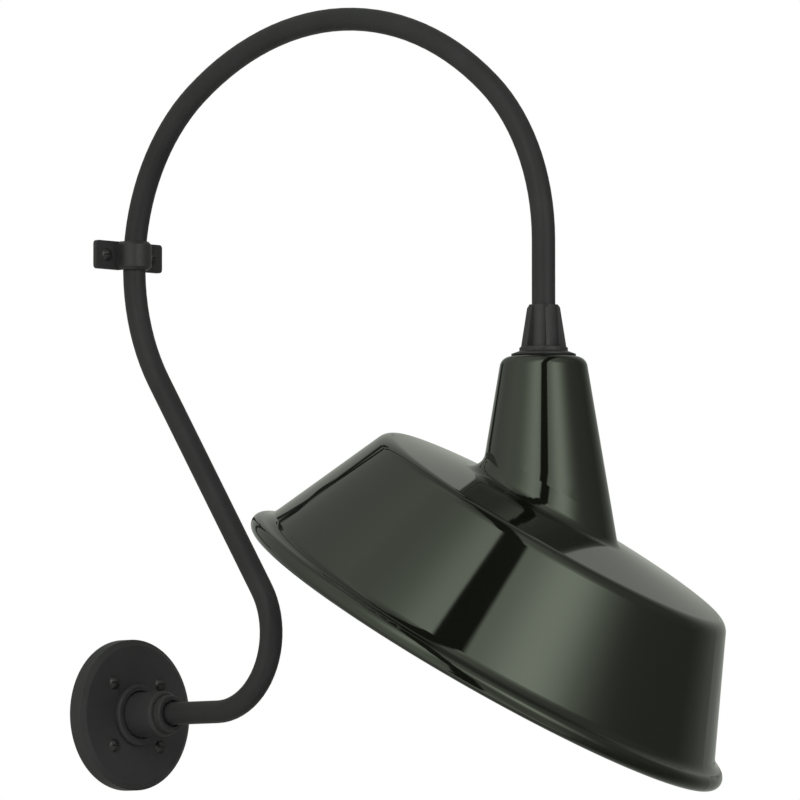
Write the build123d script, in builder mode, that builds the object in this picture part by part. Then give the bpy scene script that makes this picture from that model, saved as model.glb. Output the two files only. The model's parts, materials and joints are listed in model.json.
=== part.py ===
"""Barn light: wall canopy, looped gooseneck arm with a pipe strap, and an angled bell shade.

The wall is the plane Y = 0 and the light stands off it towards -Y, with +Z up.
The origin is the centre of the canopy's back. Heights on the hub are distances out from the wall.
All sizes are in millimetres and all angles in degrees.
"""

import os
from math import acos, cos, degrees, radians, sin, sqrt, tan

from build123d import *

# Fits shared by the pieces
slip_gap = 0.1
swivel_gap = 0.08
thread_gap = 0.05
end_gap = 0.3
edge_match = 0.01

# Arm tube and its bends, followed from the wall
tube_diameter = 19.05
tube_wall = 1.6
tube_wall_gap = 0.5
lower_bend_radius = 63.9
rise_lean = 34.7
rise_length = 218.8
side_bend_radius = 171.3
wall_side_turn = 55.7
outer_side_turn = 49.9
crown_bend_radius = 286.1
drop_length = 52.7

# Canopy and the plate behind it
canopy_diameter = 127.0
canopy_rim_depth = 12.0
canopy_depth = 15.0
canopy_face_diameter = 116.8
canopy_wall = 2.5
canopy_edge_round = 1.0
screw_square = 52.8
gasket_width = 5.0
gasket_thickness = 4.0
plate_diameter = 106.0
plate_thickness = 3.0
boss_diameter = 10.0
boss_height = 7.0
slot_spacing = 83.3
slot_length = 14.0
slot_width = 5.2
ground_screw_offset = 40.0
grommet_body_diameter = 18.0
grommet_flange_diameter = 24.0
grommet_flange_thickness = 2.0

# Slotted round-head screws: shank diameter, head diameter and head height
canopy_screw_shank = 4.8
canopy_screw_head = 11.2
canopy_screw_head_height = 3.6
strap_screw_shank = 4.6
strap_screw_head = 11.0
strap_screw_head_height = 3.4
ground_screw_shank = 4.0
ground_screw_head = 8.0
ground_screw_head_height = 2.6
socket_screw_shank = 3.0
socket_screw_head = 5.6
socket_screw_head_height = 2.0
slot_share_of_head = 0.14

# Hub
hub_flange_diameter = 52.0
hub_flange_thickness = 5.0
hub_flange_round = 2.5
hub_barrel_diameter = 38.0
hub_barrel_length = 30.5
hub_barrel_round = 3.0
hub_groove_depth = 1.6
hub_spigot_diameter = 26.0
hub_spigot_length = 9.0
hub_wire_bore = 15.0
hub_tube_seat = 5.5
hub_nut_thickness = 5.0
hub_nut_across_flats = 36.0
collar_diameter = 31.0
collar_length = 7.5
collar_round = 1.8
collar_recess_diameter = 23.0
collar_recess_depth = 2.5
hub_set_screw_diameter = 6.0
hub_set_screw_place = 18.0
set_screw_recess = 1.0
set_screw_key_share = 0.5

# Pipe strap
strap_length = 76.2
strap_height = 24.0
strap_lift = 10.2
strap_wall = 5.0
strap_ear_thickness = 4.0
strap_screw_spacing = 52.0
strap_corner_round = 3.0
strap_edge_chamfer = 2.6

# Finned cap
fin_count = 6
fin_start_angle = 55.0
fin_thickness = 2.7
fin_height = 34.2
fin_top_diameter = 27.3
fin_base_diameter = 37.9
fin_top_drop = 2.4
cap_core_top_diameter = 23.8
cap_core_base_diameter = 27.0
cap_ring_diameter = 39.3
cap_ring_thickness = 3.3
cap_ring_round = 1.2
cap_flange_diameter = 52.2
cap_flange_thickness = 3.5
cap_flange_edge = 1.2
cap_spigot_diameter = 27.0
cap_spigot_length = 15.0
cap_set_screw_diameter = 4.0
cap_set_screw_depth = 9.0
cap_set_screw_angle = 136.0
cap_gasket_diameter = 48.6
cap_gasket_thickness = 1.0

# Swivel bush in the end of the tube
bush_stem_length = 14.0
bush_flange_diameter = 22.4
bush_flange_thickness = 3.0
tube_end_below_flange = 2.0

# Shade: a conical neck that runs into a tilted bell with a rolled rim
shade_wall = 1.2
shade_tilt = 31.1
shade_aim = 26.4
neck_top_diameter = 68.4
neck_flare = 9.5
neck_top_round = 8.8
neck_to_bell_axis = 156.2
neck_bury = 46.0
neck_base_round = 11.4
bell_axis_to_rim = 100.6
bell_depth = 121.3
bell_shoulder_diameter = 314.8
bell_shoulder_round = 13.5
bell_top_slope = 6.4
bell_top_flat_diameter = 30.0
rim_diameter = 419.4
rim_roll_radius = 7.3
rim_flare_round = 12.4
rim_roll_end_angle = 205.0
shade_seam_gap = 2.0
neck_seam_lift = 15.0
shade_nut_diameter = 40.0
shade_nut_thickness = 5.0

# Socket and its holder
holder_diameter = 44.0
holder_thickness = 2.0
holder_drop = 3.5
holder_lip = 4.0
socket_diameter = 40.0
socket_length = 38.0
socket_round = 2.5
socket_recess_depth = 3.5
socket_web = 8.5
socket_screw_circle = 34.0
socket_screw_length = 9.0
socket_shell_wall = 0.6
contact_diameter = 10.0
contact_thickness = 1.0

# Cable inside the arm
cable_diameter = 6.5

# Bulb with its screw base
bulb_base_diameter = 26.2
bulb_base_length = 22.0
bulb_base_wall = 0.7
bulb_thread_pitch = 3.6
bulb_thread_depth = 0.8
bulb_thread_turns = 4
bulb_shell_clearance = 0.4
bulb_insulator_height = 3.0
bulb_insulator_diameter = 20.0
bulb_tip_diameter = 9.0
bulb_tip_height = 1.7
bulb_diameter = 60.0
bulb_glass_length = 82.0
bulb_glass_wall = 0.8
bulb_stem_disc = 2.0
bulb_stem_diameter = 7.0
bulb_stem_length = 40.0
bulb_filament_length = 28.0
bulb_filament_diameter = 2.2

os.makedirs("parts", exist_ok=True)

# Planes: outwards from the wall, along the arm, and the section of the hub
wall_plane = Plane(origin=(0, 0, 0), x_dir=(1, 0, 0), z_dir=(0, -1, 0))
arm_plane = Plane(origin=(0, 0, 0), x_dir=(0, -1, 0), z_dir=(-1, 0, 0))
hub_section = Plane(origin=(0, 0, 0), x_dir=(1, 0, 0), z_dir=(0, 0, -1))

# Radii that several pieces share
tube_radius = tube_diameter / 2
tube_bore_radius = tube_radius - tube_wall
tube_hole_radius = tube_radius + slip_gap
cable_radius = cable_diameter / 2

# Where the bends fall: the loop stands off the wall by the gap behind the strap
rise_heading = 90 + rise_lean
strap_stand = tube_wall_gap + tube_radius
loop_turn_in = side_bend_radius * (1 - cos(radians(rise_lean)))
rise_run_in = rise_length * sin(radians(rise_lean))
lower_run_out = lower_bend_radius * cos(radians(rise_lean))
exit_run_end = strap_stand + loop_turn_in + rise_run_in - lower_run_out
lower_rise = lower_bend_radius * (1 + sin(radians(rise_lean)))
rise_gain = rise_length * cos(radians(rise_lean))
loop_wall_height = lower_rise + rise_gain + side_bend_radius * sin(radians(rise_lean))
strap_middle = loop_wall_height + strap_lift
crown_turn = 180 - wall_side_turn - outer_side_turn
crown_surplus = crown_bend_radius - side_bend_radius
crown_spread = cos(radians(wall_side_turn)) + cos(radians(outer_side_turn))
crown_shift = sin(radians(outer_side_turn)) - sin(radians(wall_side_turn))
arm_reach = strap_stand + 2 * side_bend_radius + crown_surplus * crown_spread
drop_start = loop_wall_height + crown_surplus * crown_shift

# Heights out from the wall along the hub
hub_base = canopy_depth
hub_flange_top = hub_base + hub_flange_thickness
hub_barrel_top = hub_flange_top + hub_barrel_length
hub_front = hub_barrel_top + collar_length
tube_start = hub_base + hub_tube_seat

# Heights of the shade head
cap_top = drop_start - drop_length
cap_ring_top = cap_top - fin_height
cap_flange_top = cap_ring_top - cap_ring_thickness
cap_flange_bottom = cap_flange_top - cap_flange_thickness
neck_top = cap_flange_bottom - cap_gasket_thickness
tube_end = cap_flange_bottom - tube_end_below_flange
bush_bottom = tube_end - bush_flange_thickness
cap_spigot_end = cap_flange_bottom - cap_spigot_length
shade_nut_top = neck_top - shade_wall
shade_nut_bottom = shade_nut_top - shade_nut_thickness
holder_top = shade_nut_bottom - holder_drop
socket_top = holder_top - holder_thickness
socket_recess_floor = socket_top - socket_recess_depth
socket_bore_top = socket_recess_floor - socket_web
socket_bottom = socket_top - socket_length
contact_bottom = socket_bore_top - contact_thickness
bulb_tip_top = contact_bottom - end_gap
bulb_insulator_top = bulb_tip_top - bulb_tip_height
bulb_base_top = bulb_insulator_top - bulb_insulator_height
bulb_base_bottom = bulb_base_top - bulb_base_length
head_axis = Axis((0, -arm_reach, 0), (0, 0, 1))
head_section = Plane(origin=(0, -arm_reach, 0), x_dir=(1, 0, 0), z_dir=(0, -1, 0))


def head_level(height):
    """Horizontal plane across the drop of the arm, at one height."""
    return Plane(origin=(0, -arm_reach, height), x_dir=(1, 0, 0), z_dir=(0, 0, 1))


def arm_route(start, end_height):
    """Centreline of the arm, from a distance off the wall to a height on the drop."""
    with BuildLine(arm_plane) as route:
        exit_run = Line((start, 0), (exit_run_end, 0))
        lower_bend = JernArc(exit_run @ 1, exit_run % 1, lower_bend_radius, rise_heading)
        rise_end = lower_bend @ 1 + (lower_bend % 1) * rise_length
        rise = Line(lower_bend @ 1, rise_end)
        wall_side = JernArc(rise @ 1, rise % 1, side_bend_radius, -(rise_lean + wall_side_turn))
        crown = JernArc(wall_side @ 1, wall_side % 1, crown_bend_radius, -crown_turn)
        outer_side = JernArc(crown @ 1, crown % 1, side_bend_radius, -outer_side_turn)
        Line(outer_side @ 1, outer_side @ 1 + (outer_side % 1) * (drop_start - end_height))
    return route.line


def circles_of(piece, radius):
    """Round edges of a piece that have one radius."""
    round_edges = piece.edges().filter_by(GeomType.CIRCLE)
    return round_edges.filter_by(lambda edge: abs(edge.radius - radius) < edge_match)


def slotted_screw(shank_diameter, shank_length, head_diameter, head_height):
    """Round-head slotted screw, seated at its own origin with its head upwards."""
    shank_radius = shank_diameter / 2
    head_radius = head_diameter / 2
    slot_cut = slot_share_of_head * head_diameter
    dome_radius = (head_radius**2 + head_height**2) / (2 * head_height)
    dome_turn = acos(1 - head_height / dome_radius) / 2
    dome_point = (dome_radius * sin(dome_turn), head_height - dome_radius * (1 - cos(dome_turn)))
    with BuildPart() as screw:
        with BuildSketch(Plane.XZ):
            with BuildLine():
                Polyline((0, head_height), (0, -shank_length), (shank_radius, -shank_length))
                Polyline((shank_radius, -shank_length), (shank_radius, 0), (head_radius, 0))
                ThreePointArc((head_radius, 0), dome_point, (0, head_height))
            make_face()
        revolve(axis=Axis.Z)
        with Locations((0, 0, head_height)):
            Box(head_diameter, slot_cut, head_height, mode=Mode.SUBTRACT)
    return screw.part


# Gooseneck: one bent tube from the hub to the cap
tube_route = arm_route(tube_start, tube_end)
with BuildPart() as gooseneck_tube:
    with BuildSketch(wall_plane.offset(tube_start)):
        Circle(tube_radius)
        Circle(tube_bore_radius, mode=Mode.SUBTRACT)
    sweep(path=tube_route)
gooseneck_tube.part.label = "gooseneck_tube"
export_step(gooseneck_tube.part, "parts/gooseneck_tube.step")

# Cable that the arm holds from the back of the canopy to the swivel bush
cable_route = arm_route(end_gap, bush_bottom)
with BuildPart() as arm_cable:
    with BuildSketch(wall_plane.offset(end_gap)):
        Circle(cable_radius)
    sweep(path=cable_route)
arm_cable.part.label = "arm_cable"
export_step(arm_cable.part, "parts/arm_cable.step")

# Canopy: hollow round dish with a sloped shoulder, holes for its screws and for the hub
canopy_radius = canopy_diameter / 2
canopy_face_radius = canopy_face_diameter / 2
hub_spigot_radius = hub_spigot_diameter / 2
canopy_inner_radius = canopy_radius - canopy_wall
canopy_inner_face = canopy_depth - canopy_wall
with BuildPart() as canopy:
    with BuildSketch(hub_section):
        with BuildLine():
            Polyline(
                (hub_spigot_radius + slip_gap, canopy_depth),
                (canopy_face_radius, canopy_depth),
                (canopy_radius, canopy_rim_depth),
                (canopy_radius, 0),
                (canopy_inner_radius, 0),
                (canopy_inner_radius, canopy_rim_depth - canopy_wall / 2),
                (canopy_face_radius - canopy_wall / 2, canopy_inner_face),
                (hub_spigot_radius + slip_gap, canopy_inner_face),
                close=True,
            )
        make_face()
    revolve(axis=Axis.Y)
    face_edge = circles_of(canopy, canopy_face_radius)
    rim_edge = circles_of(canopy, canopy_radius).sort_by(Axis.Y)[0:1]
    fillet(face_edge + rim_edge, radius=canopy_edge_round)
    with BuildSketch(wall_plane.offset(canopy_depth)):
        with GridLocations(screw_square, screw_square, 2, 2):
            Circle(canopy_screw_shank / 2 + slip_gap)
    extrude(amount=-canopy_depth, mode=Mode.SUBTRACT)
canopy.part.label = "canopy"
export_step(canopy.part, "parts/canopy.step")

# Foam gasket just inside the canopy's rim
gasket_outer_radius = canopy_inner_radius - slip_gap
with BuildPart() as canopy_gasket:
    with BuildSketch(wall_plane):
        Circle(gasket_outer_radius)
        Circle(gasket_outer_radius - gasket_width, mode=Mode.SUBTRACT)
    extrude(amount=gasket_thickness)
canopy_gasket.part.label = "canopy_gasket"
export_step(canopy_gasket.part, "parts/canopy_gasket.step")

# Mounting plate: slots for the wall box's screws and tapped bosses for the canopy's screws
with BuildPart() as mounting_plate:
    with BuildSketch(wall_plane):
        Circle(plate_diameter / 2)
        with GridLocations(slot_spacing, 0, 2, 1):
            SlotOverall(slot_length, slot_width, mode=Mode.SUBTRACT)
        Circle(grommet_body_diameter / 2 + slip_gap, mode=Mode.SUBTRACT)
        with Locations((0, -ground_screw_offset)):
            Circle(ground_screw_shank / 2 + thread_gap, mode=Mode.SUBTRACT)
    extrude(amount=plate_thickness)
    with BuildSketch(wall_plane.offset(plate_thickness)):
        with GridLocations(screw_square, screw_square, 2, 2):
            Circle(boss_diameter / 2)
    extrude(amount=boss_height)
    with BuildSketch(wall_plane):
        with GridLocations(screw_square, screw_square, 2, 2):
            Circle(canopy_screw_shank / 2 + thread_gap)
    extrude(amount=plate_thickness + boss_height, mode=Mode.SUBTRACT)
mounting_plate.part.label = "mounting_plate"
export_step(mounting_plate.part, "parts/mounting_plate.step")

# Rubber grommet where the cable passes the mounting plate
with BuildPart() as cable_grommet:
    with BuildSketch(wall_plane):
        Circle(grommet_body_diameter / 2)
    extrude(amount=plate_thickness)
    with BuildSketch(wall_plane.offset(plate_thickness)):
        Circle(grommet_flange_diameter / 2)
    extrude(amount=grommet_flange_thickness)
    with BuildSketch(wall_plane):
        Circle(cable_radius + slip_gap)
    extrude(amount=plate_thickness + grommet_flange_thickness, mode=Mode.SUBTRACT)
cable_grommet.part.label = "cable_grommet"
export_step(cable_grommet.part, "parts/cable_grommet.step")

# Four screws that hold the canopy to the plate
canopy_screw = slotted_screw(
    canopy_screw_shank, canopy_depth - end_gap, canopy_screw_head, canopy_screw_head_height
)
with BuildPart(wall_plane.offset(canopy_depth)) as canopy_screws:
    with GridLocations(screw_square, screw_square, 2, 2):
        add(canopy_screw)
canopy_screws.part.label = "canopy_screws"
export_step(canopy_screws.part, "parts/canopy_screws.step")

# Earth screw on the mounting plate
earth_screw = slotted_screw(
    ground_screw_shank, plate_thickness - end_gap, ground_screw_head, ground_screw_head_height
)
with BuildPart(wall_plane.offset(plate_thickness)) as ground_screw:
    with Locations((0, -ground_screw_offset)):
        add(earth_screw)
ground_screw.part.label = "ground_screw"
export_step(ground_screw.part, "parts/ground_screw.step")

# Hub: round flange, barrel and a threaded spigot that passes through the canopy
hub_flange_radius = hub_flange_diameter / 2
hub_barrel_radius = hub_barrel_diameter / 2
hub_screw_y = -(hub_flange_top + hub_set_screw_place)
hub_screw_plane = Plane(origin=(0, hub_screw_y, 0), x_dir=(1, 0, 0), z_dir=(0, 0, -1))
with BuildPart() as hub:
    with BuildSketch(hub_section):
        with BuildLine():
            Polyline(
                (hub_wire_bore / 2, hub_base - hub_spigot_length),
                (hub_spigot_radius, hub_base - hub_spigot_length),
                (hub_spigot_radius, hub_base),
                (hub_flange_radius, hub_base),
                (hub_flange_radius, hub_flange_top),
                (hub_barrel_radius + hub_groove_depth, hub_flange_top),
                (hub_barrel_radius, hub_flange_top - hub_groove_depth),
                (hub_barrel_radius, hub_barrel_top),
                (tube_hole_radius, hub_barrel_top),
                (tube_hole_radius, tube_start),
                (hub_wire_bore / 2, tube_start),
                close=True,
            )
        make_face()
    revolve(axis=Axis.Y)
    flange_edge = circles_of(hub, hub_flange_radius).sort_by(Axis.Y)[0:1]
    barrel_edge = circles_of(hub, hub_barrel_radius).sort_by(Axis.Y)[0:1]
    fillet(flange_edge, radius=hub_flange_round)
    fillet(barrel_edge, radius=hub_barrel_round)
    with BuildSketch(hub_screw_plane):
        Circle(hub_set_screw_diameter / 2 + thread_gap)
    extrude(amount=hub_barrel_diameter, mode=Mode.SUBTRACT)
hub.part.label = "hub"
export_step(hub.part, "parts/hub.step")

# Collar pressed against the front of the barrel, recessed around the tube
collar_radius = collar_diameter / 2
with BuildPart() as hub_collar:
    with BuildSketch(hub_section):
        with BuildLine():
            Polyline(
                (tube_hole_radius, hub_barrel_top),
                (collar_radius, hub_barrel_top),
                (collar_radius, hub_front),
                (collar_recess_diameter / 2, hub_front),
                (collar_recess_diameter / 2, hub_front - collar_recess_depth),
                (tube_hole_radius, hub_front - collar_recess_depth),
                close=True,
            )
        make_face()
    revolve(axis=Axis.Y)
    collar_front = circles_of(hub_collar, collar_radius).sort_by(Axis.Y)[0:1]
    fillet(collar_front, radius=collar_round)
hub_collar.part.label = "hub_collar"
export_step(hub_collar.part, "parts/hub_collar.step")

# Nut on the hub's spigot, behind the canopy's face
with BuildPart() as hub_locknut:
    with BuildSketch(wall_plane.offset(canopy_inner_face)):
        RegularPolygon(hub_nut_across_flats / 2, 6, major_radius=False)
        Circle(hub_spigot_radius + thread_gap, mode=Mode.SUBTRACT)
    extrude(amount=-hub_nut_thickness)
hub_locknut.part.label = "hub_locknut"
export_step(hub_locknut.part, "parts/hub_locknut.step")

# Set screw under the barrel that locks the tube in the hub
hub_screw_length = hub_barrel_radius - set_screw_recess - tube_hole_radius
hub_screw_seat = hub_screw_plane.offset(tube_hole_radius)
with BuildPart() as hub_set_screw:
    with BuildSketch(hub_screw_seat):
        Circle(hub_set_screw_diameter / 2)
    extrude(amount=hub_screw_length)
    with BuildSketch(hub_screw_seat.offset(hub_screw_length)):
        RegularPolygon(hub_set_screw_diameter / 2 * set_screw_key_share, 6)
    extrude(amount=-hub_screw_length * set_screw_key_share, mode=Mode.SUBTRACT)
hub_set_screw.part.label = "hub_set_screw"
export_step(hub_set_screw.part, "parts/hub_set_screw.step")

# Pipe strap: two ears on the wall and a saddle over the tube, bored along the bend
saddle_radius = tube_hole_radius + strap_wall
strap_floor = Plane.XY.offset(strap_middle - strap_height / 2)
bend_level = Plane.XY.offset(loop_wall_height)
side_bend_axis = Axis((0, -(strap_stand + side_bend_radius), loop_wall_height), (1, 0, 0))
strap_bore_turn = degrees((strap_height + strap_lift) / side_bend_radius)
with BuildPart() as pipe_strap:
    with BuildSketch(strap_floor):
        with Locations((0, -strap_ear_thickness / 2)):
            Rectangle(strap_length, strap_ear_thickness)
    extrude(amount=strap_height)
    ear_corners = pipe_strap.edges().filter_by(Axis.Y)
    fillet(ear_corners, radius=strap_corner_round)
    with BuildSketch(strap_floor):
        with Locations((0, -strap_stand / 2)):
            Rectangle(2 * saddle_radius, strap_stand)
        with Locations((0, -strap_stand)):
            Circle(saddle_radius)
        with Locations((0, saddle_radius / 2)):
            Rectangle(2 * saddle_radius, saddle_radius, mode=Mode.SUBTRACT)
    extrude(amount=strap_height)
    chamfer(circles_of(pipe_strap, saddle_radius), length=strap_edge_chamfer)
    for turn in (strap_bore_turn, -strap_bore_turn):
        with BuildSketch(bend_level):
            Rectangle(2 * tube_hole_radius, 2 * strap_stand)
            with Locations((0, -strap_stand)):
                Circle(tube_hole_radius)
        revolve(axis=side_bend_axis, revolution_arc=turn, mode=Mode.SUBTRACT)
    with BuildSketch(wall_plane):
        with Locations((0, strap_middle)):
            with GridLocations(strap_screw_spacing, 0, 2, 1):
                Circle(strap_screw_shank / 2 + slip_gap)
    extrude(amount=strap_ear_thickness, mode=Mode.SUBTRACT)
pipe_strap.part.label = "pipe_strap"
export_step(pipe_strap.part, "parts/pipe_strap.step")

# Two screws through the strap's ears, drawn as far as the wall
strap_screw = slotted_screw(
    strap_screw_shank, strap_ear_thickness - end_gap, strap_screw_head, strap_screw_head_height
)
with BuildPart(wall_plane.offset(strap_ear_thickness)) as strap_screws:
    with Locations((0, strap_middle)):
        with GridLocations(strap_screw_spacing, 0, 2, 1):
            add(strap_screw)
strap_screws.part.label = "strap_screws"
export_step(strap_screws.part, "parts/strap_screws.step")

# Swivel bush: pressed into the tube's end, its flange carries the cap
bush_bore_radius = cable_radius + slip_gap
bush_flange_radius = bush_flange_diameter / 2
with BuildPart() as swivel_bush:
    with BuildSketch(head_section):
        with BuildLine():
            Polyline(
                (bush_bore_radius, tube_end + bush_stem_length),
                (tube_bore_radius - thread_gap, tube_end + bush_stem_length),
                (tube_bore_radius - thread_gap, tube_end),
                (bush_flange_radius, tube_end),
                (bush_flange_radius, bush_bottom),
                (bush_bore_radius, bush_bottom),
                close=True,
            )
        make_face()
    revolve(axis=head_axis)
swivel_bush.part.label = "swivel_bush"
export_step(swivel_bush.part, "parts/swivel_bush.step")

# Finned cap: core, fins, base ring, domed flange and a threaded spigot
cap_bore_radius = tube_radius + swivel_gap
cap_spigot_radius = cap_spigot_diameter / 2
cap_shoulder = tube_end + end_gap
cap_counterbore_radius = bush_flange_radius + swivel_gap
cap_ring_radius = cap_ring_diameter / 2
cap_flange_radius = cap_flange_diameter / 2
cap_core_top_radius = cap_core_top_diameter / 2
cap_core_base_radius = cap_core_base_diameter / 2
cap_screw_height = cap_top - cap_set_screw_depth
with BuildPart() as finned_cap:
    with BuildSketch(head_section):
        with BuildLine():
            Polyline(
                (cap_bore_radius, cap_top),
                (cap_core_top_radius, cap_top),
                (cap_core_base_radius, cap_ring_top),
                (cap_ring_radius, cap_ring_top),
                (cap_ring_radius, cap_flange_top),
                (cap_flange_radius, cap_flange_bottom + cap_flange_edge),
                (cap_flange_radius, cap_flange_bottom),
                (cap_spigot_radius, cap_flange_bottom),
                (cap_spigot_radius, cap_spigot_end),
                (cap_counterbore_radius, cap_spigot_end),
                (cap_counterbore_radius, cap_shoulder),
                (cap_bore_radius, cap_shoulder),
                close=True,
            )
        make_face()
    revolve(axis=head_axis)
    ring_edge = circles_of(finned_cap, cap_ring_radius).sort_by(Axis.Z)[-1:]
    fillet(ring_edge, radius=cap_ring_round)
    for fin in range(fin_count):
        fin_turn = fin_start_angle + fin * 360 / fin_count
        fin_out = (cos(radians(fin_turn)), sin(radians(fin_turn)), 0)
        fin_side = (sin(radians(fin_turn)), -cos(radians(fin_turn)), 0)
        with BuildSketch(Plane(origin=(0, -arm_reach, 0), x_dir=fin_out, z_dir=fin_side)):
            with BuildLine():
                Polyline(
                    (cap_bore_radius + slip_gap, cap_ring_top),
                    (fin_base_diameter / 2, cap_ring_top),
                    (fin_top_diameter / 2, cap_top - fin_top_drop),
                    (cap_core_top_radius, cap_top),
                    (cap_bore_radius + slip_gap, cap_top),
                    close=True,
                )
            make_face()
        extrude(amount=fin_thickness / 2, both=True)
    with BuildSketch(head_level(cap_top)):
        Circle(cap_bore_radius)
    extrude(amount=-(cap_top - cap_shoulder), mode=Mode.SUBTRACT)
    for side in (0, 180):
        screw_turn = radians(cap_set_screw_angle + side)
        screw_out = (cos(screw_turn), sin(screw_turn), 0)
        with BuildSketch(Plane(origin=(0, -arm_reach, cap_screw_height), x_dir=(0, 0, 1), z_dir=screw_out)):
            Circle(cap_set_screw_diameter / 2 + thread_gap)
        extrude(amount=cap_ring_diameter, mode=Mode.SUBTRACT)
finned_cap.part.label = "finned_cap"
export_step(finned_cap.part, "parts/finned_cap.step")

# Two set screws that lock the cap on the tube
cap_screw_length = cap_core_top_radius - tube_radius - end_gap
with BuildPart() as cap_set_screws:
    for side in (0, 180):
        screw_turn = radians(cap_set_screw_angle + side)
        screw_out = Vector(cos(screw_turn), sin(screw_turn), 0)
        screw_tip = Vector(0, -arm_reach, cap_screw_height) + screw_out * (tube_radius + end_gap)
        screw_seat = Plane(origin=screw_tip, x_dir=(0, 0, 1), z_dir=screw_out)
        with BuildSketch(screw_seat):
            Circle(cap_set_screw_diameter / 2)
        extrude(amount=cap_screw_length)
        with BuildSketch(screw_seat.offset(cap_screw_length)):
            RegularPolygon(cap_set_screw_diameter / 2 * set_screw_key_share, 6)
        extrude(amount=-cap_screw_length * set_screw_key_share, mode=Mode.SUBTRACT)
cap_set_screws.part.label = "cap_set_screws"
export_step(cap_set_screws.part, "parts/cap_set_screws.step")

# Rubber gasket between the cap's flange and the shade
with BuildPart() as cap_gasket:
    with BuildSketch(head_level(neck_top)):
        Circle(cap_gasket_diameter / 2)
        Circle(cap_spigot_radius + slip_gap, mode=Mode.SUBTRACT)
    extrude(amount=cap_gasket_thickness)
cap_gasket.part.label = "cap_gasket"
export_step(cap_gasket.part, "parts/cap_gasket.step")

# Directions of the tilted bell: downhill across it and upwards along its axis
aim = Vector(sin(radians(shade_aim)), -cos(radians(shade_aim)), 0)
bell_across = aim * cos(radians(shade_tilt)) - Vector(0, 0, 1) * sin(radians(shade_tilt))
bell_up = aim * sin(radians(shade_tilt)) + Vector(0, 0, 1) * cos(radians(shade_tilt))
bell_crossing = Vector(0, -arm_reach, neck_top - neck_to_bell_axis)
bell_rim_centre = bell_crossing - bell_up * bell_axis_to_rim
bell_section = Plane(origin=bell_rim_centre, x_dir=bell_across, z_dir=bell_across.cross(bell_up))
bell_axis = Axis(bell_rim_centre, bell_up)

# Outline of the bell as radius and height above the rim: the side aims at the middle of the rim's roll
shoulder_radius = bell_shoulder_diameter / 2
roll_centre = Vector(rim_diameter / 2, rim_roll_radius)
shoulder_corner = Vector(shoulder_radius, bell_depth)
side_down = (roll_centre - shoulder_corner).normalized()
side_out = Vector(-side_down.Y, side_down.X)
top_out = Vector(sin(radians(bell_top_slope)), cos(radians(bell_top_slope)))
top_flat_radius = bell_top_flat_diameter / 2
top_rise = (shoulder_radius - top_flat_radius) * tan(radians(bell_top_slope))
flare_reach = rim_flare_round + rim_roll_radius
flare_start = roll_centre - side_down * sqrt(flare_reach**2 - rim_flare_round**2)
flare_centre = flare_start + side_out * rim_flare_round
flare_to_roll = (roll_centre - flare_centre).normalized()
flare_middle = (flare_to_roll - side_out).normalized()
roll_start_angle = degrees(acos(rim_flare_round / flare_reach))
shoulder_shift = (side_out + top_out) * (shade_wall / (1 + side_out.dot(top_out)))


def flat(point):
    """Plain pair of a point's radius and height, for a sketch."""
    return (point.X, point.Y)


def roll_point(radius, angle):
    """Point on the rim's roll, with the angle counted from its outermost side upwards."""
    turn = radians(angle)
    return roll_centre + (side_out * cos(turn) - side_down * sin(turn)) * radius


def neck_radius(depth):
    """Outer radius of the neck's cone at a depth below its top."""
    return neck_top_diameter / 2 + depth * tan(radians(neck_flare))


# Space inside the shade, cut out of its solid form
neck_depth = neck_to_bell_axis + neck_bury
neck_wall_across = shade_wall / cos(radians(neck_flare))
neck_section = Plane(origin=(0, -arm_reach, neck_top), x_dir=(1, 0, 0), z_dir=(0, -1, 0))
inner_corner = shoulder_corner - shoulder_shift
inner_top = Vector(top_flat_radius, bell_depth + top_rise - shade_wall / cos(radians(bell_top_slope)))
inner_flare_start = flare_start - side_out * shade_wall
inner_mouth = inner_flare_start + side_down * flare_reach
inner_neck_top = neck_radius(shade_wall) - neck_wall_across
inner_neck_base = neck_radius(neck_depth) - neck_wall_across
with BuildPart() as shade_space:
    with BuildSketch(neck_section):
        with BuildLine():
            Polyline(
                (0, -shade_wall),
                (inner_neck_top, -shade_wall),
                (inner_neck_base, -neck_depth),
                (0, -neck_depth),
                close=True,
            )
        make_face()
        inner_neck_corner = vertices().sort_by_distance((inner_neck_top, -shade_wall))[0]
        fillet(inner_neck_corner, radius=neck_top_round - shade_wall)
    revolve(axis=head_axis)
    with BuildSketch(bell_section):
        with BuildLine():
            Polyline(
                (0, inner_top.Y),
                flat(inner_top),
                flat(inner_corner),
                flat(inner_mouth),
                (0, inner_mouth.Y),
                close=True,
            )
        make_face()
        inner_shoulder = vertices().sort_by_distance(flat(inner_corner))[0]
        fillet(inner_shoulder, radius=bell_shoulder_round - shade_wall)
    revolve(axis=bell_axis)
    fillet(shade_space.edges().filter_by(GeomType.BSPLINE), radius=neck_base_round + shade_wall)

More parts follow.
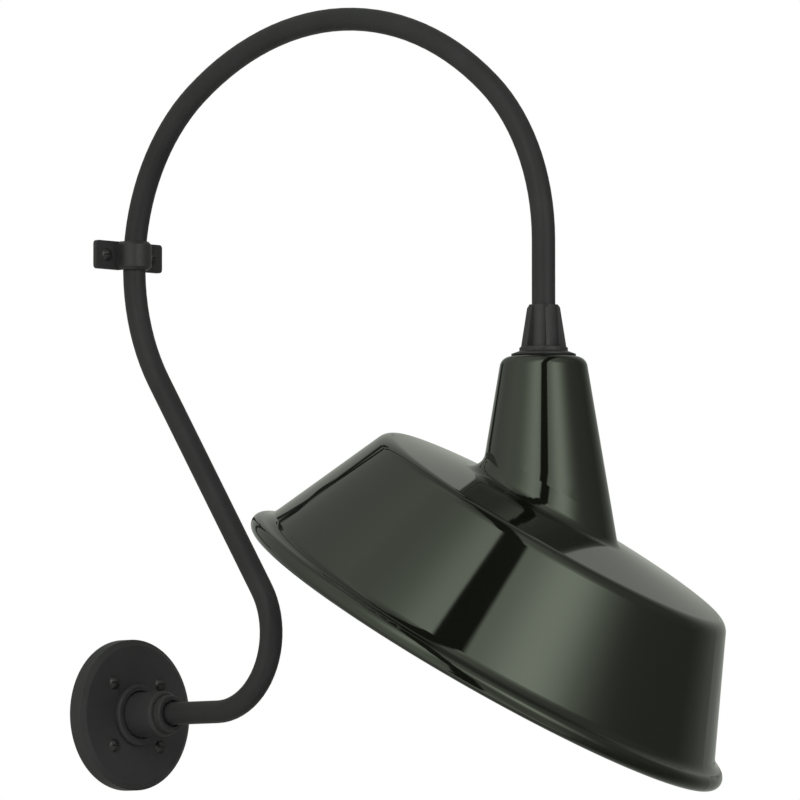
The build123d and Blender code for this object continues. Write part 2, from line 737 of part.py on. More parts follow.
# Skin of the shade: bell and neck in one, with the rolled rim added round the mouth
with BuildPart() as shade_skin:
    with BuildSketch(neck_section):
        with BuildLine():
            Polyline(
                (0, 0),
                (neck_radius(0), 0),
                (neck_radius(neck_depth), -neck_depth),
                (0, -neck_depth),
                close=True,
            )
        make_face()
        neck_corner = vertices().sort_by_distance((neck_radius(0), 0))[0]
        fillet(neck_corner, radius=neck_top_round)
    revolve(axis=head_axis)
    with BuildSketch(bell_section):
        with BuildLine():
            Polyline(
                (0, bell_depth + top_rise),
                (top_flat_radius, bell_depth + top_rise),
                flat(shoulder_corner),
                flat(flare_start),
                flat(inner_flare_start),
                (0, inner_flare_start.Y),
                close=True,
            )
        make_face()
        outer_shoulder = vertices().sort_by_distance(flat(shoulder_corner))[0]
        fillet(outer_shoulder, radius=bell_shoulder_round)
    revolve(axis=bell_axis)
    fillet(shade_skin.edges().filter_by(GeomType.BSPLINE), radius=neck_base_round)
    add(shade_space.part, mode=Mode.SUBTRACT)
    with BuildSketch(head_level(neck_top)):
        Circle(cap_spigot_radius + slip_gap)
    extrude(amount=-neck_top_round, mode=Mode.SUBTRACT)
    with BuildSketch(bell_section):
        with BuildLine():
            roll_inner_radius = rim_roll_radius - shade_wall
            roll_middle_angle = (roll_start_angle - rim_roll_end_angle) / 2
            flare_inner_round = rim_flare_round + shade_wall
            ThreePointArc(
                flat(flare_start),
                flat(flare_centre + flare_middle * rim_flare_round),
                flat(roll_point(rim_roll_radius, roll_start_angle)),
            )
            ThreePointArc(
                flat(roll_point(rim_roll_radius, roll_start_angle)),
                flat(roll_point(rim_roll_radius, roll_middle_angle)),
                flat(roll_point(rim_roll_radius, -rim_roll_end_angle)),
            )
            Line(
                flat(roll_point(rim_roll_radius, -rim_roll_end_angle)),
                flat(roll_point(roll_inner_radius, -rim_roll_end_angle)),
            )
            ThreePointArc(
                flat(roll_point(roll_inner_radius, -rim_roll_end_angle)),
                flat(roll_point(roll_inner_radius, roll_middle_angle)),
                flat(roll_point(roll_inner_radius, roll_start_angle)),
            )
            ThreePointArc(
                flat(roll_point(roll_inner_radius, roll_start_angle)),
                flat(flare_centre + flare_middle * flare_inner_round),
                flat(inner_flare_start),
            )
            Line(flat(inner_flare_start), flat(flare_start))
        make_face()
    revolve(axis=bell_axis)

# Seams in the shade's straight stretches: across the neck, around the bell's top and across its side
shoulder_half_turn = acos(side_out.dot(top_out)) / 2
seam_from_corner = bell_shoulder_round * tan(shoulder_half_turn) + shade_seam_gap
top_seam_radius = shoulder_radius - seam_from_corner * cos(radians(bell_top_slope))
side_seam = shoulder_corner + side_down * seam_from_corner
neck_seam_height = bell_depth + top_rise + neck_seam_lift
# The seam planes are turned a quarter, so that a round cut doesn't begin on the skin's own start line
bell_quarter = bell_up.cross(bell_across)
side_seam_plane = Plane(bell_rim_centre + bell_up * side_seam.Y, x_dir=bell_quarter, z_dir=bell_up)
neck_seam_plane = Plane(bell_rim_centre + bell_up * neck_seam_height, x_dir=bell_quarter, z_dir=bell_up)

# Shade's neck
with BuildPart() as shade_neck:
    add(shade_skin.part)
    split(bisect_by=neck_seam_plane, keep=Keep.TOP)
shade_neck.part.label = "shade_neck"
export_step(shade_neck.part, "parts/shade_neck.step")

# Shade's hood: the bell's top with the foot of the neck
with BuildPart() as shade_hood:
    add(shade_skin.part)
    split(bisect_by=neck_seam_plane, keep=Keep.BOTTOM)
    split(bisect_by=side_seam_plane, keep=Keep.TOP)
    with BuildSketch(side_seam_plane):
        Circle(rim_diameter / 2)
        Circle(top_seam_radius, mode=Mode.SUBTRACT)
    extrude(amount=neck_depth, mode=Mode.SUBTRACT)
shade_hood.part.label = "shade_hood"
export_step(shade_hood.part, "parts/shade_hood.step")

# Shade's shoulder: the round between the top and the side
with BuildPart() as shade_shoulder:
    add(shade_skin.part)
    split(bisect_by=side_seam_plane, keep=Keep.TOP)
    with BuildSketch(side_seam_plane):
        Circle(top_seam_radius)
    extrude(amount=neck_depth, mode=Mode.SUBTRACT)
shade_shoulder.part.label = "shade_shoulder"
export_step(shade_shoulder.part, "parts/shade_shoulder.step")

# Shade's skirt: the bell's side with the rolled rim
with BuildPart() as shade_skirt:
    add(shade_skin.part)
    split(bisect_by=side_seam_plane, keep=Keep.BOTTOM)
shade_skirt.part.label = "shade_skirt"
export_step(shade_skirt.part, "parts/shade_skirt.step")

# Ring nut that clamps the shade to the cap
with BuildPart() as shade_locknut:
    with BuildSketch(head_level(shade_nut_top)):
        RegularPolygon(shade_nut_diameter / 2, 8)
        Circle(cap_spigot_radius + thread_gap, mode=Mode.SUBTRACT)
    extrude(amount=-shade_nut_thickness)
shade_locknut.part.label = "shade_locknut"
export_step(shade_locknut.part, "parts/shade_locknut.step")

# Socket holder: a dished steel plate screwed onto the spigot
holder_radius = holder_diameter / 2
with BuildPart() as socket_holder:
    with BuildSketch(head_level(holder_top)):
        Circle(holder_radius)
        Circle(cap_spigot_radius + thread_gap, mode=Mode.SUBTRACT)
        with PolarLocations(socket_screw_circle / 2, 2):
            Circle(socket_screw_shank / 2 + slip_gap, mode=Mode.SUBTRACT)
    extrude(amount=-holder_thickness)
    with BuildSketch(head_level(socket_top)):
        Circle(holder_radius)
        Circle(socket_diameter / 2 + slip_gap, mode=Mode.SUBTRACT)
    extrude(amount=-holder_lip)
socket_holder.part.label = "socket_holder"
export_step(socket_holder.part, "parts/socket_holder.step")

# Porcelain socket body with the bore for its screw shell
socket_radius = socket_diameter / 2
shell_inner_radius = bulb_base_diameter / 2 + bulb_shell_clearance
shell_outer_radius = shell_inner_radius + socket_shell_wall
with BuildPart() as socket_body:
    with BuildSketch(head_section):
        with BuildLine():
            Polyline(
                (cap_spigot_radius + slip_gap, socket_top),
                (socket_radius, socket_top),
                (socket_radius, socket_bottom),
                (shell_outer_radius + thread_gap, socket_bottom),
                (shell_outer_radius + thread_gap, socket_bore_top),
                (0, socket_bore_top),
                (0, socket_recess_floor),
                (cap_spigot_radius + slip_gap, socket_recess_floor),
                close=True,
            )
        make_face()
    revolve(axis=head_axis)
    socket_lip = circles_of(socket_body, socket_radius).sort_by(Axis.Z)[0:1]
    fillet(socket_lip, radius=socket_round)
    with BuildSketch(head_level(socket_top)):
        with PolarLocations(socket_screw_circle / 2, 2):
            Circle(socket_screw_shank / 2 + thread_gap)
    extrude(amount=-socket_screw_length, mode=Mode.SUBTRACT)
socket_body.part.label = "socket_body"
export_step(socket_body.part, "parts/socket_body.step")

# Two screws that hold the socket body to its holder
socket_screw = slotted_screw(
    socket_screw_shank, socket_screw_length, socket_screw_head, socket_screw_head_height
)
with BuildPart(head_level(holder_top)) as socket_screws:
    with PolarLocations(socket_screw_circle / 2, 2):
        add(socket_screw)
socket_screws.part.label = "socket_screws"
export_step(socket_screws.part, "parts/socket_screws.step")

# Screw shell that lines the socket
with BuildPart() as socket_shell:
    with BuildSketch(head_level(socket_bore_top)):
        Circle(shell_outer_radius)
        Circle(shell_inner_radius, mode=Mode.SUBTRACT)
    extrude(amount=-(socket_bore_top - socket_bottom - socket_round))
socket_shell.part.label = "socket_shell"
export_step(socket_shell.part, "parts/socket_shell.step")

# Centre contact at the top of the socket
with BuildPart() as socket_contact:
    with BuildSketch(head_level(socket_bore_top)):
        Circle(contact_diameter / 2)
    extrude(amount=-contact_thickness)
socket_contact.part.label = "socket_contact"
export_step(socket_contact.part, "parts/socket_contact.step")

# Cable from the swivel bush down to the socket
with BuildPart() as socket_lead:
    with BuildSketch(head_level(socket_recess_floor)):
        Circle(cable_radius)
    extrude(amount=bush_bottom - end_gap - socket_recess_floor)
socket_lead.part.label = "socket_lead"
export_step(socket_lead.part, "parts/socket_lead.step")

# Bulb base: thin cup with rounded thread rings
bulb_base_radius = bulb_base_diameter / 2
thread_start = bulb_base_bottom + (bulb_base_length - bulb_thread_turns * bulb_thread_pitch) / 2
with BuildPart() as bulb_base:
    with BuildSketch(head_section):
        with BuildLine():
            root_radius = bulb_base_radius - bulb_thread_depth
            Line((root_radius, bulb_base_bottom), (root_radius, thread_start))
            for turn in range(bulb_thread_turns):
                ring_bottom = thread_start + turn * bulb_thread_pitch
                ThreePointArc(
                    (root_radius, ring_bottom),
                    (bulb_base_radius, ring_bottom + bulb_thread_pitch / 2),
                    (root_radius, ring_bottom + bulb_thread_pitch),
                )
            Polyline(
                (root_radius, thread_start + bulb_thread_turns * bulb_thread_pitch),
                (root_radius, bulb_base_top),
                (bulb_insulator_diameter / 2 - bulb_base_wall, bulb_base_top),
                (bulb_insulator_diameter / 2 - bulb_base_wall, bulb_base_top - bulb_base_wall),
                (root_radius - bulb_base_wall, bulb_base_top - bulb_base_wall),
                (root_radius - bulb_base_wall, bulb_base_bottom),
                (root_radius, bulb_base_bottom),
            )
        make_face()
    revolve(axis=head_axis)
bulb_base.part.label = "bulb_base"
export_step(bulb_base.part, "parts/bulb_base.step")

# Insulator and tip contact on top of the base
with BuildPart() as bulb_insulator:
    with BuildSketch(head_level(bulb_base_top)):
        Circle(bulb_insulator_diameter / 2)
    with BuildSketch(head_level(bulb_insulator_top)):
        Circle(bulb_tip_diameter / 2)
    loft(ruled=True)
bulb_insulator.part.label = "bulb_insulator"
export_step(bulb_insulator.part, "parts/bulb_insulator.step")

with BuildPart() as bulb_tip:
    with BuildSketch(head_level(bulb_insulator_top)):
        Circle(bulb_tip_diameter / 2)
    extrude(amount=bulb_tip_height)
    fillet(bulb_tip.edges().sort_by(Axis.Z)[-1:], radius=bulb_tip_height / 2)
bulb_tip.part.label = "bulb_tip"
export_step(bulb_tip.part, "parts/bulb_tip.step")

# Bulb glass: a cone from the base that runs tangent into a ball
ball_radius = bulb_diameter / 2
ball_centre = Vector(0, bulb_base_bottom - bulb_glass_length + ball_radius)
glass_start = Vector(bulb_base_radius - bulb_thread_depth, bulb_base_bottom)
start_reach = glass_start - ball_centre
start_angle = degrees(acos(start_reach.normalized().X))
tangent_angle = start_angle - degrees(acos(ball_radius / start_reach.length))
tangent_out = Vector(cos(radians(tangent_angle)), sin(radians(tangent_angle)))
lower_angle = radians((tangent_angle - 90) / 2)
lower_out = Vector(cos(lower_angle), sin(lower_angle))
ball_inner_radius = ball_radius - bulb_glass_wall
glass_inner_start = glass_start - tangent_out * bulb_glass_wall
with BuildPart() as bulb_glass:
    with BuildSketch(head_section):
        with BuildLine():
            Line(flat(glass_start), flat(ball_centre + tangent_out * ball_radius))
            ThreePointArc(
                flat(ball_centre + tangent_out * ball_radius),
                flat(ball_centre + lower_out * ball_radius),
                (0, ball_centre.Y - ball_radius),
            )
            Line((0, ball_centre.Y - ball_radius), (0, ball_centre.Y - ball_inner_radius))
            ThreePointArc(
                (0, ball_centre.Y - ball_inner_radius),
                flat(ball_centre + lower_out * ball_inner_radius),
                flat(ball_centre + tangent_out * ball_inner_radius),
            )
            Line(flat(ball_centre + tangent_out * ball_inner_radius), flat(glass_inner_start))
            Line(flat(glass_inner_start), flat(glass_start))
        make_face()
    revolve(axis=head_axis)
bulb_glass.part.label = "bulb_glass"
export_step(bulb_glass.part, "parts/bulb_glass.step")

# Glass stem inside the bulb, with the filament across its end
stem_disc_radius = bulb_base_radius - bulb_thread_depth - bulb_base_wall - slip_gap
filament_height = bulb_base_bottom - bulb_stem_length
with BuildPart() as bulb_stem:
    with BuildSketch(head_level(bulb_base_bottom)):
        Circle(stem_disc_radius)
    extrude(amount=bulb_stem_disc)
    with BuildSketch(head_level(bulb_base_bottom)):
        Circle(bulb_stem_diameter / 2)
    extrude(amount=-bulb_stem_length)
    with BuildSketch(Plane(origin=(0, -arm_reach, filament_height), x_dir=(0, 1, 0), z_dir=(1, 0, 0))):
        Circle(bulb_filament_diameter / 2)
    extrude(amount=bulb_filament_length / 2, both=True)
bulb_stem.part.label = "bulb_stem"
export_step(bulb_stem.part, "parts/bulb_stem.step")
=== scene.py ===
"""Looks of the barn light: finishes on the CAD pieces, studio shell, floor and camera.

Lengths are in metres and angles in degrees, in the frame of the CAD model:
the wall is the plane Y = 0, the light stands off it towards -Y, and +Z is up.
"""

import json
from math import cos, exp, hypot, radians, sin

import bpy
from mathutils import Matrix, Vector


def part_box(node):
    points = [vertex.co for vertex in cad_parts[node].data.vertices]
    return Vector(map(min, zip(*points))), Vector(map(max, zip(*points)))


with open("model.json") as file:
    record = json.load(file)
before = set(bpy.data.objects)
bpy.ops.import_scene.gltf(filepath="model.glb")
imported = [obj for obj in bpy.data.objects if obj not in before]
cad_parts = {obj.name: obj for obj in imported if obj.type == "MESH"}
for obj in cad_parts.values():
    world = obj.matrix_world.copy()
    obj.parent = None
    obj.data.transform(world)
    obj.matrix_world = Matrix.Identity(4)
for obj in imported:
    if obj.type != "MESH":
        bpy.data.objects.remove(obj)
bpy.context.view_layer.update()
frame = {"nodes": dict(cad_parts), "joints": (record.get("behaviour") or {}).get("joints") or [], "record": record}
nodes = frame["nodes"]

# Camera of the photograph
camera_place = Vector((-5.1976, -5.5251, -0.2895))
camera_azimuth = -45.0
camera_pitch = 4.194
camera_lens = 405.0
camera_sensor = 36.0
camera_clip_end = 50.0

# Level of the light
world_level = 0.4
white_level = 1.0
white = (1.0, 1.0, 1.0)

# Floor
floor_height = -0.9
floor_size = 14.0
floor_glow = 0.22
floor_dark = (0.86, 0.86, 0.86)
floor_light = (0.9, 0.9, 0.9)
floor_cloud_scale = 2.0
floor_rough = 0.8

# Lamps: azimuth from the camera to its right, elevation, size and power
lamp_distance = 2.2
lamps = {
    "key_lamp": (-24.0, 32.0, 1.0, 30.0),
    "fill_lamp": (62.0, -5.0, 1.2, 18.0),
    "back_lamp": (180.0, 8.0, 1.4, 26.0),
}

# Studio around the light, as its enamel mirrors it: azimuths run from the camera to its right
shell_radius = 9.0
shell_step = 1.5
shell_tint = (0.94, 1.0, 0.89)
# Levels of the walls at each azimuth, low down and high up, where 1 is white
wall_levels = [
    (-180.0, 0.45, 0.45), (-145.0, 0.35, 0.5), (-110.0, 0.5, 0.8), (-75.0, 1.2, 1.1), (-40.0, 1.6, 1.0),
    (0.0, 0.8, 0.6), (25.0, 0.9, 0.5), (50.0, 0.3, 1.0), (75.0, 0.17, 0.7), (115.0, 0.12, 0.25),
    (150.0, 0.3, 0.4), (180.0, 0.45, 0.45),
]
wall_foot = -20.0
wall_head = 60.0
# Soft lamps on the walls: middle, peak level, half width, half length and lean to the right
soft_lamps = [
    {"middle": (-15.0, 30.0), "peak": 2.3, "width": 17.0, "length": 28.0, "lean": 34.0},
    {"middle": (35.0, 13.0), "peak": 3.2, "width": 15.0, "length": 26.0, "lean": -35.0},
]
# Dark flags between the lamps: their middle lines and half widths
flag_level = 0.02
flag_edge = 1.5
main_flag_line = [
    (-45.0, -50.0), (-27.0, -40.0), (-14.0, -20.0), (-4.0, 0.0), (0.0, 22.0), (4.0, 36.0), (12.0, 54.0),
    (28.0, 68.0), (60.0, 76.0), (110.0, 77.0),
]
side_flag_line = [(-160.0, 38.0), (-150.0, 13.0), (-131.0, 9.0)]
dark_flags = [
    {"half_width": 6.8, "line": main_flag_line},
    {"half_width": 2.0, "line": side_flag_line},
]

# Shade's shape, for telling its outside from its inside
subparts = frame["record"]["subparts"]
swivel_place = Vector(frame["joints"][0]["pos_m"])
shade_nodes = [part["node"] for part in subparts if part["material_slot"] == "green_enamel"]
neck_top = max(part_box(node_name)[1].z for node_name in shade_nodes)
rim_roll_radius = 0.0073
rim_roll_margin = 1.1
rim_radius = 0.2097
shade_tilt = 31.1
shade_aim = 26.4
bell_axis_to_rim = 0.1006
neck_to_bell_axis = 0.1562

# Textures of the finishes: noise scales per metre, relief depths in metres and spreads of roughness
noise_detail = 4.0
noise_roughness = 0.55
middle_of_noise = (0.3, 0.7)
coat_cloud_scale = 18.0
coat_rough_spread = 0.06
coat_grain_detail = 2.0
enamel_cloud_scale = 7.0
enamel_peel_scale = 160.0
enamel_peel_detail = 1.0
enamel_rough_spread = 0.03
enamel_ior = 1.5
metal_cloud_scale = 90.0
metal_grain_scale = 260.0
metal_grain_depth = 0.00003
rubber_grain_scale = 420.0
rubber_grain_depth = 0.00006
fine_grain_detail = 3.0
dull_rough_spread = 0.08
glaze_fleck_scale = 240.0
glaze_fleck_detail = 5.0
glaze_fleck_roughness = 0.7
glaze_fleck_range = (0.3, 0.5)
glaze_rough_range = (0.1, 0.2)
glaze_coat = 0.5
glaze_coat_rough = 0.05
glass_cloud_scale = 60.0
glass_rough_spread = 0.04
glass_ior = 1.45


# Helpers for materials

def start_material(name):
    """New material with its shader, node list and link list."""
    material = bpy.data.materials.new(name)
    material.use_nodes = True
    tree = material.node_tree
    return material, tree.nodes, tree.links, tree.nodes["Principled BSDF"]


def noise(tree_nodes, links, scale, detail=noise_detail, roughness=noise_roughness):
    """Noise in the object's own coordinates, which stays with the piece as it moves."""
    place = tree_nodes.new("ShaderNodeTexCoord")
    texture = tree_nodes.new("ShaderNodeTexNoise")
    texture.inputs["Scale"].default_value = scale
    texture.inputs["Detail"].default_value = detail
    texture.inputs["Roughness"].default_value = roughness
    links.new(place.outputs["Object"], texture.inputs["Vector"])
    return texture.outputs["Fac"]


def ramp_colour(tree_nodes, links, value, dark, light, low=0.35, high=0.65):
    """Colour that runs from dark to light as the value rises."""
    ramp = tree_nodes.new("ShaderNodeValToRGB")
    ramp.color_ramp.elements[0].position = low
    ramp.color_ramp.elements[0].color = (*dark, 1.0)
    ramp.color_ramp.elements[1].position = high
    ramp.color_ramp.elements[1].color = (*light, 1.0)
    links.new(value, ramp.inputs["Fac"])
    return ramp.outputs["Color"]


def ramp_value(tree_nodes, links, value, lowest, highest):
    """Number that runs between two limits as the value rises."""
    spread = tree_nodes.new("ShaderNodeMapRange")
    spread.inputs["From Min"].default_value = middle_of_noise[0]
    spread.inputs["From Max"].default_value = middle_of_noise[1]
    spread.inputs["To Min"].default_value = lowest
    spread.inputs["To Max"].default_value = highest
    links.new(value, spread.inputs["Value"])
    return spread.outputs["Result"]


def bump(tree_nodes, links, shader, value, depth):
    """Fine relief, with its depth in metres."""
    relief = tree_nodes.new("ShaderNodeBump")
    relief.inputs["Strength"].default_value = 1.0
    relief.inputs["Distance"].default_value = depth
    links.new(value, relief.inputs["Height"])
    links.new(relief.outputs["Normal"], shader.inputs["Normal"])


def coated(name, dark, light, rough, grain_scale, grain_depth, sheen):
    """Powder coat or moulding: a little uneven in colour and gloss, with a fine grain."""
    material, made, links, shader = start_material(name)
    cloud = noise(made, links, coat_cloud_scale)
    grain = noise(made, links, grain_scale, coat_grain_detail)
    links.new(ramp_colour(made, links, cloud, dark, light), shader.inputs["Base Color"])
    uneven = ramp_value(made, links, grain, rough - coat_rough_spread, rough + coat_rough_spread)
    links.new(uneven, shader.inputs["Roughness"])
    shader.inputs["Specular IOR Level"].default_value = sheen
    bump(made, links, shader, grain, grain_depth)
    return material


def enamel(name, dark, light, rough, peel_depth, sheen_tint):
    """Fired enamel: glassy, with slight clouds in the colour and a faint waviness."""
    material, made, links, shader = start_material(name)
    cloud = noise(made, links, enamel_cloud_scale)
    peel = noise(made, links, enamel_peel_scale, enamel_peel_detail)
    links.new(ramp_colour(made, links, cloud, dark, light), shader.inputs["Base Color"])
    uneven = ramp_value(made, links, cloud, rough, rough + enamel_rough_spread)
    links.new(uneven, shader.inputs["Roughness"])
    shader.inputs["IOR"].default_value = enamel_ior
    shader.inputs["Specular Tint"].default_value = (*sheen_tint, 1.0)
    bump(made, links, shader, peel, peel_depth)
    return material


def bare_metal(name, dark, light, rough):
    """Plated or turned metal with a mottled surface."""
    material, made, links, shader = start_material(name)
    cloud = noise(made, links, metal_cloud_scale)
    grain = noise(made, links, metal_grain_scale, fine_grain_detail)
    links.new(ramp_colour(made, links, cloud, dark, light), shader.inputs["Base Color"])
    uneven = ramp_value(made, links, grain, rough - dull_rough_spread, rough + dull_rough_spread)
    links.new(uneven, shader.inputs["Roughness"])
    shader.inputs["Metallic"].default_value = 1.0
    bump(made, links, shader, grain, metal_grain_depth)
    return material


def soft_black(name, dark, light, rough):
    """Rubber or cable sheath: dull, with a fine texture."""
    material, made, links, shader = start_material(name)
    grain = noise(made, links, rubber_grain_scale, fine_grain_detail)
    links.new(ramp_colour(made, links, grain, dark, light), shader.inputs["Base Color"])
    uneven = ramp_value(made, links, grain, rough - dull_rough_spread, rough + dull_rough_spread)
    links.new(uneven, shader.inputs["Roughness"])
    bump(made, links, shader, grain, rubber_grain_depth)
    return material


def glazed(name, dark, light):
    """Glazed porcelain: off-white with fine flecks."""
    material, made, links, shader = start_material(name)
    fleck = noise(made, links, glaze_fleck_scale, glaze_fleck_detail, glaze_fleck_roughness)
    flecked = ramp_colour(made, links, fleck, dark, light, *glaze_fleck_range)
    links.new(flecked, shader.inputs["Base Color"])
    links.new(ramp_value(made, links, fleck, *glaze_rough_range), shader.inputs["Roughness"])
    shader.inputs["Coat Weight"].default_value = glaze_coat
    shader.inputs["Coat Roughness"].default_value = glaze_coat_rough
    return material


def clear_glass(name, tint_dark, tint_light, rough):
    """Thin glass with a slightly uneven surface."""
    material, made, links, shader = start_material(name)
    cloud = noise(made, links, glass_cloud_scale)
    links.new(ramp_colour(made, links, cloud, tint_dark, tint_light), shader.inputs["Base Color"])
    uneven = ramp_value(made, links, cloud, rough, rough + glass_rough_spread)
    links.new(uneven, shader.inputs["Roughness"])
    shader.inputs["Transmission Weight"].default_value = 1.0
    shader.inputs["IOR"].default_value = glass_ior
    return material


# Coats: dark and light colour, roughness, the grain's scale and depth, and the level of the sheen
coats = {
    "black_coat": ((0.022, 0.022, 0.0222), (0.028, 0.028, 0.0283), 0.5, 900.0, 0.00004, 0.2),
    "black_tube": ((0.017, 0.017, 0.0172), (0.022, 0.022, 0.0223), 0.46, 900.0, 0.00003, 0.16),
    "black_cast": ((0.017, 0.017, 0.0172), (0.024, 0.024, 0.0243), 0.42, 520.0, 0.00008, 0.25),
    "black_screw": ((0.009, 0.009, 0.0092), (0.014, 0.014, 0.0142), 0.34, 700.0, 0.00003, 0.4),
    "earth_green": ((0.02, 0.16, 0.05), (0.04, 0.22, 0.08), 0.35, 600.0, 0.00002, 0.5),
    "bulb_black_glass": ((0.01, 0.01, 0.012), (0.02, 0.02, 0.022), 0.15, 300.0, 0.00001, 0.5),
}
# Enamels: dark and light colour, roughness, depth of the waviness and tint of the sheen
green_sheen = (0.925, 1.0, 0.875)
enamels = {
    "green_enamel": ((0.0045, 0.005, 0.0036), (0.0053, 0.0059, 0.0043), 0.03, 0.000002, green_sheen),
    "white_enamel": ((0.78, 0.78, 0.75), (0.83, 0.83, 0.8), 0.12, 0.000004, white),
}
# Metals, rubbers and glasses: dark and light colour, and roughness
metals = {
    "zinc_plate": ((0.45, 0.46, 0.48), (0.6, 0.61, 0.62), 0.34),
    "steel_screw": ((0.5, 0.5, 0.51), (0.64, 0.64, 0.64), 0.3),
    "brass_bush": ((0.6, 0.42, 0.16), (0.72, 0.54, 0.26), 0.28),
    "brass_shell": ((0.62, 0.45, 0.2), (0.75, 0.58, 0.3), 0.25),
    "bulb_cap_metal": ((0.62, 0.62, 0.63), (0.78, 0.78, 0.78), 0.25),
}
rubbers = {
    "gasket_rubber": ((0.012, 0.012, 0.012), (0.022, 0.022, 0.022), 0.75),
    "cable_sheath": ((0.015, 0.015, 0.015), (0.026, 0.026, 0.026), 0.6),
}
glasses = {
    "bulb_clear_glass": ((0.9, 0.91, 0.9), (0.97, 0.97, 0.96), 0.18),
    "bulb_stem_glass": ((0.8, 0.82, 0.8), (0.9, 0.9, 0.88), 0.1),
}
# Porcelain: dark and light colour
glazes = {"porcelain": ((0.62, 0.58, 0.5), (0.82, 0.8, 0.74))}

# Finishes, one for each slot of the record, and the white inside of the shade
makers = [
    (coated, coats), (enamel, enamels), (bare_metal, metals), (soft_black, rubbers), (clear_glass, glasses),
    (glazed, glazes),
]
finishes = {}
for make_finish, looks in makers:
    for finish_name, look in looks.items():
        finishes[finish_name] = make_finish(finish_name, *look)


def dress(node_name, *materials):
    """Gives a CAD node its materials."""
    slots = nodes[node_name].data.materials
    slots.clear()
    for material in materials:
        slots.append(material)


for subpart in subparts:
    dress(subpart["node"], finishes[subpart["material_slot"]])

# The shade is green outside and white inside: a face is inside when it looks at the middle of the hollow
aim = Vector((sin(radians(shade_aim)), -cos(radians(shade_aim)), 0.0))
bell_up = aim * sin(radians(shade_tilt)) + Vector((0.0, 0.0, cos(radians(shade_tilt))))
bell_crossing = Vector((swivel_place.x, swivel_place.y, neck_top - neck_to_bell_axis))
rim_centre = bell_crossing - bell_up * bell_axis_to_rim
hollow_middle = bell_crossing - bell_up * (bell_axis_to_rim / 2)
for node_name in shade_nodes:
    dress(node_name, finishes["green_enamel"], finishes["white_enamel"])
    for polygon in nodes[node_name].data.polygons:
        across = polygon.center - rim_centre
        height = across.dot(bell_up)
        radius = (across - bell_up * height).length
        from_roll = hypot(radius - rim_radius, height - rim_roll_radius)
        looks_in = polygon.normal.dot(hollow_middle - polygon.center) > 0
        off_roll = from_roll > rim_roll_radius * rim_roll_margin
        polygon.material_index = 1 if looks_in and off_roll else 0


# Studio: floor, world, shell and lamps

def light_path_mix(tree, ray_names):
    """One where a ray is of any of the named kinds, and zero elsewhere."""
    path = tree.nodes.new("ShaderNodeLightPath")
    total = path.outputs[ray_names[0]]
    for ray_name in ray_names[1:]:
        highest = tree.nodes.new("ShaderNodeMath")
        highest.operation = "MAXIMUM"
        tree.links.new(total, highest.inputs[0])
        tree.links.new(path.outputs[ray_name], highest.inputs[1])
        total = highest.outputs["Value"]
    return total


def make_world():
    """White where it is seen, directly or in a reflection, and a plain level where it only lights."""
    world = bpy.data.worlds.new("studio")
    bpy.context.scene.world = world
    world.use_nodes = True
    tree = world.node_tree
    lit = tree.nodes["Background"]
    lit.inputs["Color"].default_value = (*white, 1.0)
    lit.inputs["Strength"].default_value = world_level
    seen = tree.nodes.new("ShaderNodeBackground")
    seen.inputs["Color"].default_value = (*white, 1.0)
    seen.inputs["Strength"].default_value = white_level
    mix = tree.nodes.new("ShaderNodeMixShader")
    rays = light_path_mix(tree, ["Is Camera Ray", "Is Glossy Ray", "Is Transmission Ray"])
    tree.links.new(rays, mix.inputs["Fac"])
    tree.links.new(lit.outputs["Background"], mix.inputs[1])
    tree.links.new(seen.outputs["Background"], mix.inputs[2])
    tree.links.new(mix.outputs["Shader"], tree.nodes["World Output"].inputs["Surface"])


def make_floor():
    """Pale plain floor, far below the light, and clear from underneath."""
    bpy.ops.mesh.primitive_plane_add(size=floor_size, location=(0.0, 0.0, floor_height))
    floor = bpy.context.object
    floor.name = "floor"
    material, made, links, shader = start_material("floor_white")
    cloud = noise(made, links, floor_cloud_scale)
    links.new(ramp_colour(made, links, cloud, floor_dark, floor_light), shader.inputs["Base Color"])
    shader.inputs["Roughness"].default_value = floor_rough
    shader.inputs["Emission Color"].default_value = (*white, 1.0)
    glow = made.new("ShaderNodeMath")
    glow.operation = "MULTIPLY"
    glow.inputs[1].default_value = floor_glow
    links.new(light_path_mix(material.node_tree, ["Is Camera Ray"]), glow.inputs[0])
    links.new(glow.outputs["Value"], shader.inputs["Emission Strength"])
    side = made.new("ShaderNodeNewGeometry")
    clear = made.new("ShaderNodeBsdfTransparent")
    mix = made.new("ShaderNodeMixShader")
    links.new(side.outputs["Backfacing"], mix.inputs["Fac"])
    links.new(shader.outputs["BSDF"], mix.inputs[1])
    links.new(clear.outputs["BSDF"], mix.inputs[2])
    links.new(mix.outputs["Shader"], made["Material Output"].inputs["Surface"])
    floor.data.materials.append(material)
    floor.visible_glossy = False


def direction(azimuth, elevation):
    """Direction from the light, with the azimuth counted from the camera to its right."""
    turn = radians(camera_azimuth + azimuth)
    flat = cos(radians(elevation))
    return Vector((sin(turn) * flat, -cos(turn) * flat, sin(radians(elevation))))


def wall_level(azimuth, elevation):
    """Level of the studio's wall, between the stops on either side and between its foot and its head."""
    rise = min(1.0, max(0.0, (elevation - wall_foot) / (wall_head - wall_foot)))
    for (start, *start_levels), (end, *end_levels) in zip(wall_levels, wall_levels[1:]):
        if start <= azimuth <= end:
            share = (azimuth - start) / (end - start)
            low = start_levels[0] + (end_levels[0] - start_levels[0]) * share
            high = start_levels[1] + (end_levels[1] - start_levels[1]) * share
            return low + (high - low) * rise


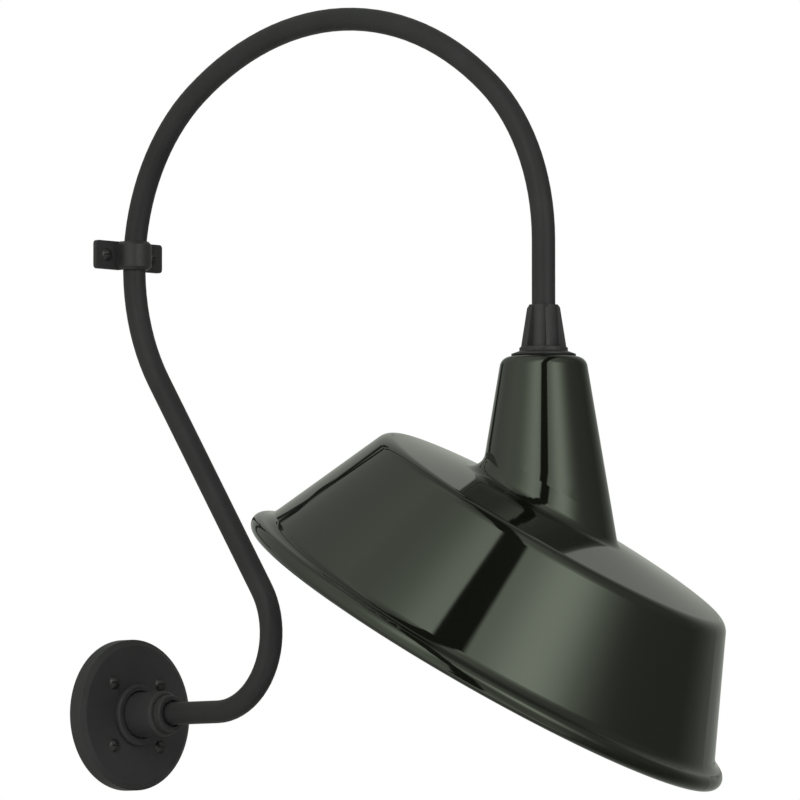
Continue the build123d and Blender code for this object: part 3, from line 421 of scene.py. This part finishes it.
def lamp_glow(lamp, azimuth, elevation):
    """Soft lamp's light at a place: full in its middle, fading all round."""
    lean = radians(lamp["lean"])
    across = (azimuth - lamp["middle"][0]) * cos(radians(elevation))
    up = elevation - lamp["middle"][1]
    along = up * cos(lean) + across * sin(lean)
    aside = across * cos(lean) - up * sin(lean)
    return lamp["peak"] * exp(-(aside / lamp["width"]) ** 2 - (along / lamp["length"]) ** 2)


def from_line(line, azimuth, elevation):
    """Angle between a place and the nearest point of a line of places."""
    flat = cos(radians(elevation))
    place = Vector((azimuth * flat, elevation))
    nearest = 360.0
    for start, end in zip(line, line[1:]):
        first = Vector((start[0] * flat, start[1]))
        run = Vector((end[0] * flat, end[1])) - first
        share = min(1.0, max(0.0, (place - first).dot(run) / run.length_squared))
        nearest = min(nearest, (place - first - run * share).length)
    return nearest


def shell_level(azimuth, elevation):
    """Brightness of the studio in one direction."""
    level = wall_level(azimuth, elevation)
    for lamp in soft_lamps:
        level += lamp_glow(lamp, azimuth, elevation)
    for flag in dark_flags:
        past_edge = (from_line(flag["line"], azimuth, elevation) - flag["half_width"]) / flag_edge
        level = flag_level + (level - flag_level) * min(1.0, max(0.0, 0.5 + past_edge))
    return level


def make_shell():
    """Round studio wall with its soft lamps and dark flags, seen only in reflections."""
    columns = round(360.0 / shell_step)
    rows = round(180.0 / shell_step)
    points = []
    levels = []
    faces = []
    for row in range(rows + 1):
        for column in range(columns + 1):
            azimuth = -180.0 + column * shell_step
            elevation = -90.0 + row * shell_step
            points.append(hollow_middle + direction(azimuth, elevation) * shell_radius)
            levels.append(shell_level(azimuth, elevation))
            if row and column:
                corner = row * (columns + 1) + column
                below = corner - columns - 1
                faces.append((below - 1, below, corner, corner - 1))
    mesh = bpy.data.meshes.new("studio_shell")
    mesh.from_pydata(points, [], faces)
    mesh.attributes.new("level", "FLOAT", "POINT").data.foreach_set("value", levels)
    shell = bpy.data.objects.new("studio_shell", mesh)
    bpy.context.scene.collection.objects.link(shell)
    material, made, links, shader = start_material("studio_shell")
    glow = made.new("ShaderNodeEmission")
    stored = made.new("ShaderNodeAttribute")
    stored.attribute_name = "level"
    glow.inputs["Color"].default_value = (*shell_tint, 1.0)
    links.new(stored.outputs["Fac"], glow.inputs["Strength"])
    links.new(glow.outputs["Emission"], made["Material Output"].inputs["Surface"])
    mesh.materials.append(material)
    shell.visible_camera = False
    shell.visible_diffuse = False
    shell.visible_transmission = False
    shell.visible_shadow = False


def make_lamp(name, azimuth, elevation, size, power):
    """Soft square lamp that faces the light."""
    lamp = bpy.data.lights.new(name, "AREA")
    lamp.shape = "SQUARE"
    lamp.size = size
    lamp.energy = power
    holder = bpy.data.objects.new(name, lamp)
    holder.location = hollow_middle + direction(azimuth, elevation) * lamp_distance
    facing = hollow_middle - holder.location
    holder.rotation_euler = facing.to_track_quat("-Z", "Y").to_euler()
    holder.visible_glossy = False
    bpy.context.scene.collection.objects.link(holder)


make_world()
make_floor()
make_shell()
for lamp_name, (lamp_azimuth, lamp_elevation, lamp_size, lamp_power) in lamps.items():
    make_lamp(lamp_name, lamp_azimuth, lamp_elevation, lamp_size, lamp_power)

# Camera at the photograph's viewing angle
camera = bpy.data.cameras.new("photo_camera")
camera.lens = camera_lens
camera.sensor_width = camera_sensor
camera.clip_end = camera_clip_end
camera_holder = bpy.data.objects.new("photo_camera", camera)
camera_holder.location = camera_place
camera_holder.rotation_euler = (radians(90.0 + camera_pitch), 0.0, radians(camera_azimuth))
bpy.context.scene.collection.objects.link(camera_holder)
bpy.context.scene.camera = camera_holder

bpy.context.scene.view_settings.view_transform = "Standard"
